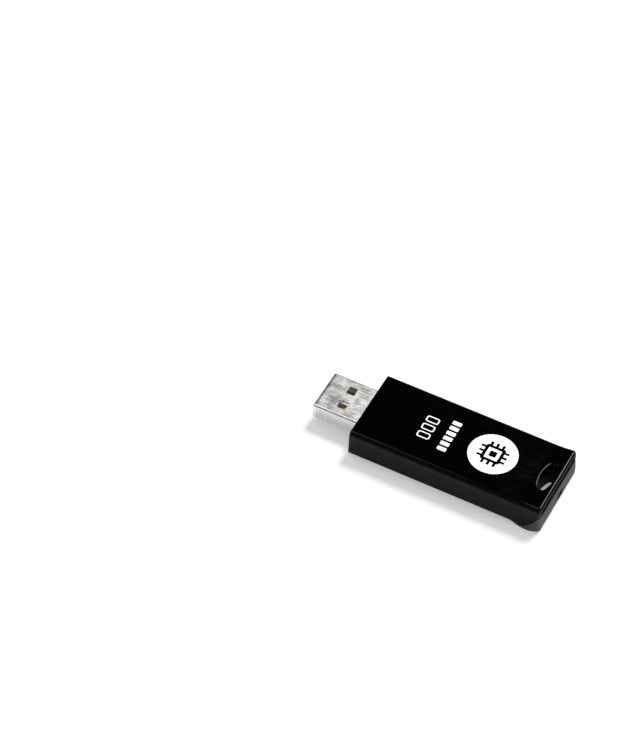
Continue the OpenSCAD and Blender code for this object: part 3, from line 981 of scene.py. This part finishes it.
class FLASHDRIVE_OT_plug(DriveOperator, bpy.types.Operator):
    """Build the plug's folded shell: drawn-in tip, latch windows, seam and solder legs"""

    bl_idname = "flashdrive.plug"
    bl_label = "Plug shell"

    def execute(self, context):
        s = self.shape
        shell = self.tube(s)
        for cutter in self.windows(s):
            cut(shell, cutter)
        cut(shell, self.seam(s))
        cut(shell, self.legs(s), "UNION")
        assign(shell, plated("nickel_plate", self.colours.nickel, (0.22, 0.36)))
        settle(shell, CARRIAGE, ["plug_shell"])
        return {"FINISHED"}

    def back(self, s):
        return SHELL_LOW.x + s.leg_length

    def tube(self, s):
        """The folded sheet: along its outside, round the tip's edge and back along its inside."""
        lip = s.sheet / 2
        drawn = 0.1 * MM
        draw_length = 0.9 * MM
        draw_x = SHELL_HIGH.x - draw_length
        width = SHELL_HIGH.y - SHELL_LOW.y
        height = SHELL_HIGH.z - SHELL_LOW.z
        middle_z = (SHELL_LOW.z + SHELL_HIGH.z) / 2

        def section(x, inset):
            inset += drawn * max(0.0, (x - draw_x) / (SHELL_HIGH.x - draw_x)) ** 2
            outline = round_rect(width - 2 * inset, height - 2 * inset, SHELL_CORNER - inset)
            return [(x, y, middle_z + z) for y, z in outline]

        stations = [self.back(s)] + steps(draw_x, SHELL_HIGH.x - lip, 6)
        sections = [section(x, 0.0) for x in stations]
        for a in steps(0.0, math.pi, 8)[1:-1]:
            sections.append(section(SHELL_HIGH.x - lip * (1 - math.sin(a)),
                                    lip * (1 - math.cos(a))))
        sections += [section(x, s.sheet) for x in reversed(stations)]
        bm = bmesh.new()
        made = [ring(bm, points) for points in sections]
        for a, b in zip(made, made[1:] + made[:1]):
            bridge(bm, a, b)
        return mesh_object("plug_sleeve", bm, crease=50.0)

    def windows(self, s):
        """Cutters for the latch windows, one on each side, through the top and the bottom."""
        x = SHELL_HIGH.x - s.latch_back - s.latch_length / 2
        corner = 0.3 * MM
        outline = round_rect(s.latch_length, s.latch_width, corner)
        heights = (SHELL_LOW.z - s.sheet, SHELL_HIGH.z + s.sheet)
        for y in (-s.latch_side, s.latch_side):
            yield stacked("latch_cutter", [level(outline, z, (x, y)) for z in heights])

    def seam(self, s):
        """A fine groove along the middle of the underside, where the sheet's edges interlock."""
        start = self.back(s)
        pitch = (SHELL_HIGH.x - NOSE_X) / (s.dovetails + 1)
        neck, head, reach_y = 0.45 * MM, 0.75 * MM, 1.1 * MM
        path = [Vector((start - s.sheet, 0.0))]
        for k in range(s.dovetails):
            x = NOSE_X + (k + 1) * pitch
            path += [Vector((x - neck, 0.0)), Vector((x - head, reach_y)),
                     Vector((x + head, reach_y)), Vector((x + neck, 0.0))]
        path.append(Vector((SHELL_HIGH.x + s.sheet, 0.0)))
        half_gap = 0.05 * MM
        groove = 0.12 * MM
        outline = band(path, half_gap)
        return stacked("seam_cutter", [level(outline, SHELL_LOW.z + z) for z in (-s.sheet, groove)])

    def legs(self, s):
        """The two flat legs that are soldered into the board."""
        x = self.back(s) - s.leg_length / 2
        y = SHELL_HIGH.y - s.sheet / 2
        stub, rise = 0.3 * MM, 0.8 * MM
        overlap = 0.1 * MM
        corner = 0.05 * MM
        outline = round_rect(s.leg_length + overlap, s.sheet, corner, 2)
        bm = bmesh.new()
        for side in (-1, 1):
            stack(bm, [level(outline, z, (x, side * y))
                       for z in (BOARD_LOW.z - stub, BOARD_HIGH.z + rise)])
        return mesh_object("solder_legs", bm)


class FLASHDRIVE_OT_prints(DriveOperator, bpy.types.Operator):
    """Finish the two printed marks on the cover"""

    bl_idname = "flashdrive.prints"
    bl_label = "Printed marks"

    def execute(self, context):
        ink = printed_ink(self.colours)
        for node in ("emblem_print", "legend_print"):
            assign(frame["nodes"][node], ink)
        return {"FINISHED"}


class FLASHDRIVE_OT_inside(DriveOperator, bpy.types.Operator):
    """Finish the carriage, the slider, the plug's inside and the electronics"""

    bl_idname = "flashdrive.inside"
    bl_label = "Inside"

    def execute(self, context):
        c = self.colours
        nodes = frame["nodes"]
        carrier = moulded("carrier_grey", c.carrier)
        epoxy = moulded("moulded_epoxy", (0.02, 0.02, 0.02), (0.55, 0.75), 6000.0, 0.012)
        solder = plated("tin", (0.62, 0.63, 0.65), (0.2, 0.4), (1.0, 1.0, 1.0), 0.004)
        finishes = {
            "thumb_slider": (moulded("slider_grey", c.slider, (0.4, 0.6)), 0.08),
            "carrier_frame": (carrier, 0.05),
            "carrier_lid": (carrier, 0.05),
            "detent_springs": (plated("spring_steel", (0.5, 0.51, 0.53), (0.25, 0.4)), 0.0),
            "plug_insulator": (
                moulded("insulator_white", c.insulator, (0.35, 0.5), 3000.0, 0.004), 0.05),
            "plug_contacts": (plated("gold_plate", c.gold, (0.15, 0.35)), 0.04),
            "solder_joints": (solder, 0.05),
            "circuit_board": (solder_resist(c), 0.03),
            "flash_chip": (epoxy, 0.06),
            "flash_leads": (solder, 0.0),
            "controller_chip": (epoxy, 0.05),
            "crystal_can": (plated("plated_can", (0.6, 0.6, 0.58), (0.2, 0.35)), 0.1),
            "regulator_chip": (epoxy, 0.05),
            "capacitors": (moulded("fired_ceramic", (0.3, 0.19, 0.1), (0.4, 0.6)), 0.05),
            "resistors": (epoxy, 0.04),
            "status_led": (moulded("clear_resin", (0.8, 0.8, 0.7), (0.1, 0.2)), 0.06),
        }
        for node, (finish, bevel) in finishes.items():
            assign(nodes[node], finish)
            if bevel:
                soften(nodes[node], bevel * MM)
            else:
                smooth(nodes[node].data, CAD_CREASE)
        return {"FINISHED"}


class FLASHDRIVE_OT_stage(DriveOperator, bpy.types.Operator):
    """Set the floor, the soft studio lights and the camera"""

    bl_idname = "flashdrive.stage"
    bl_label = "Stage"

    def execute(self, context):
        self.floor()
        self.lights()
        self.world()
        self.camera()
        return {"FINISHED"}

    def floor(self):
        size = 2.0
        bm = bmesh.new()
        bmesh.ops.create_grid(bm, x_segments=8, y_segments=8, size=size)
        bmesh.ops.translate(bm, verts=bm.verts, vec=(0.0, 0.0, CAD_BOX[0][2] - 0.01 * MM))
        floor = mesh_object("studio_floor", bm)
        f = Finish("light_table", self.colours.floor, 0.9, Specular_IOR_Level=0.1,
                   Emission_Color=WHITE, Emission_Strength=0.28)
        f.relief(f.noise(900.0, 2.0), 0.01 * MM, 0.1)
        assign(floor, f.material)
        floor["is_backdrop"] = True

    def lights(self):
        """Softboxes aimed at the drive: where each stands, its size and its power."""
        for name, place, size, power in (
            ("key", (-0.08, -0.6, 0.78), (0.34, 0.34), 8.2),
            ("fill", (-1.2, 0.05, 0.4), (0.6, 0.4), 4.0),
            ("nose", (0.42, -0.12, 0.75), (0.45, 0.45), 1.8),
        ):
            light = bpy.data.lights.new(name, "AREA")
            light.shape = "RECTANGLE"
            light.size, light.size_y = size
            light.energy = power
            holder = bpy.data.objects.new(name, light)
            bpy.context.scene.collection.objects.link(holder)
            holder.location = place
            holder.rotation_euler = Vector(place).to_track_quat("Z", "Y").to_euler()

    def world(self):
        """A plain grey surround, darker behind the drive so that its top stays black."""
        world = bpy.data.worlds.new("studio")
        world.use_nodes = True
        bpy.context.scene.world = world
        tree = world.node_tree
        background = tree.nodes["Background"]
        place = tree.nodes.new("ShaderNodeTexCoord").outputs["Generated"]
        split = tree.nodes.new("ShaderNodeSeparateXYZ")
        tree.links.new(place, split.inputs[0])
        ramp = tree.nodes.new("ShaderNodeMapRange")
        ramp.interpolation_type = "SMOOTHSTEP"
        tree.links.new(split.outputs["Y"], ramp.inputs["Value"])
        for name, value in (("From Min", -0.45), ("From Max", 0.6), ("To Min", 0.0), ("To Max", 0.3)):
            ramp.inputs[name].default_value = value
        tree.links.new(ramp.outputs["Result"], background.inputs["Strength"])
        background.inputs["Color"].default_value = (0.95, 0.97, 1.0, 1.0)

    def camera(self):
        azimuth, elevation, roll = (math.radians(a) for a in (204.7, 48.7, 3.3))
        distance = 710.5 * MM
        shift_right, shift_up = 57.47 * MM, -30.84 * MM
        back = Vector((math.sin(azimuth) * math.cos(elevation),
                       -math.cos(azimuth) * math.cos(elevation), math.sin(elevation)))
        flat_right = Vector((math.cos(azimuth), math.sin(azimuth), 0.0))
        flat_up = back.cross(flat_right)
        right = math.cos(roll) * flat_right + math.sin(roll) * flat_up
        up = math.cos(roll) * flat_up - math.sin(roll) * flat_right
        tail = Vector((TAIL_X + COVER_T, 0.0, 0.0))
        lens = bpy.data.cameras.new("camera")
        lens.lens = 145.75
        lens.sensor_width = 36.0
        lens.clip_start = 0.01
        lens.clip_end = 20.0
        holder = bpy.data.objects.new("camera", lens)
        bpy.context.scene.collection.objects.link(holder)
        holder.matrix_world = Matrix.Translation(
            tail - right * shift_right - up * shift_up + back * distance
        ) @ Matrix((right, up, back)).transposed().to_4x4()
        scene = bpy.context.scene
        scene.camera = holder
        scene.view_settings.view_transform = "Standard"


class FLASHDRIVE_PT_panel(bpy.types.Panel):
    """The drive's pieces, in the order in which they are built"""

    bl_idname = "FLASHDRIVE_PT_panel"
    bl_label = "Flash drive"
    bl_space_type = "VIEW_3D"
    bl_region_type = "UI"
    bl_category = "Flash drive"

    def draw(self, context):
        for operator in OPERATORS:
            self.layout.operator(operator.bl_idname)


OPERATORS = (
    FLASHDRIVE_OT_cover,
    FLASHDRIVE_OT_tray,
    FLASHDRIVE_OT_plug,
    FLASHDRIVE_OT_prints,
    FLASHDRIVE_OT_inside,
    FLASHDRIVE_OT_stage,
)
CLASSES = (DriveShape, DriveColours, *OPERATORS, FLASHDRIVE_PT_panel)


def register():
    for cls in CLASSES:
        bpy.utils.register_class(cls)
    bpy.types.Scene.drive_shape = PointerProperty(type=DriveShape)
    bpy.types.Scene.drive_colours = PointerProperty(type=DriveColours)


def unregister():
    del bpy.types.Scene.drive_colours
    del bpy.types.Scene.drive_shape
    for cls in reversed(CLASSES):
        bpy.utils.unregister_class(cls)


def main():
    register()
    for operator in OPERATORS:
        group, name = operator.bl_idname.split(".")
        getattr(getattr(bpy.ops, group), name)()
    bpy.context.view_layer.update()
    boxes = {"cad": CAD_BOX, "visual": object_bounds()}
    {name: [list(corner) for corner in box] for name, box in boxes.items()}


if __name__ == "__main__":
    main()
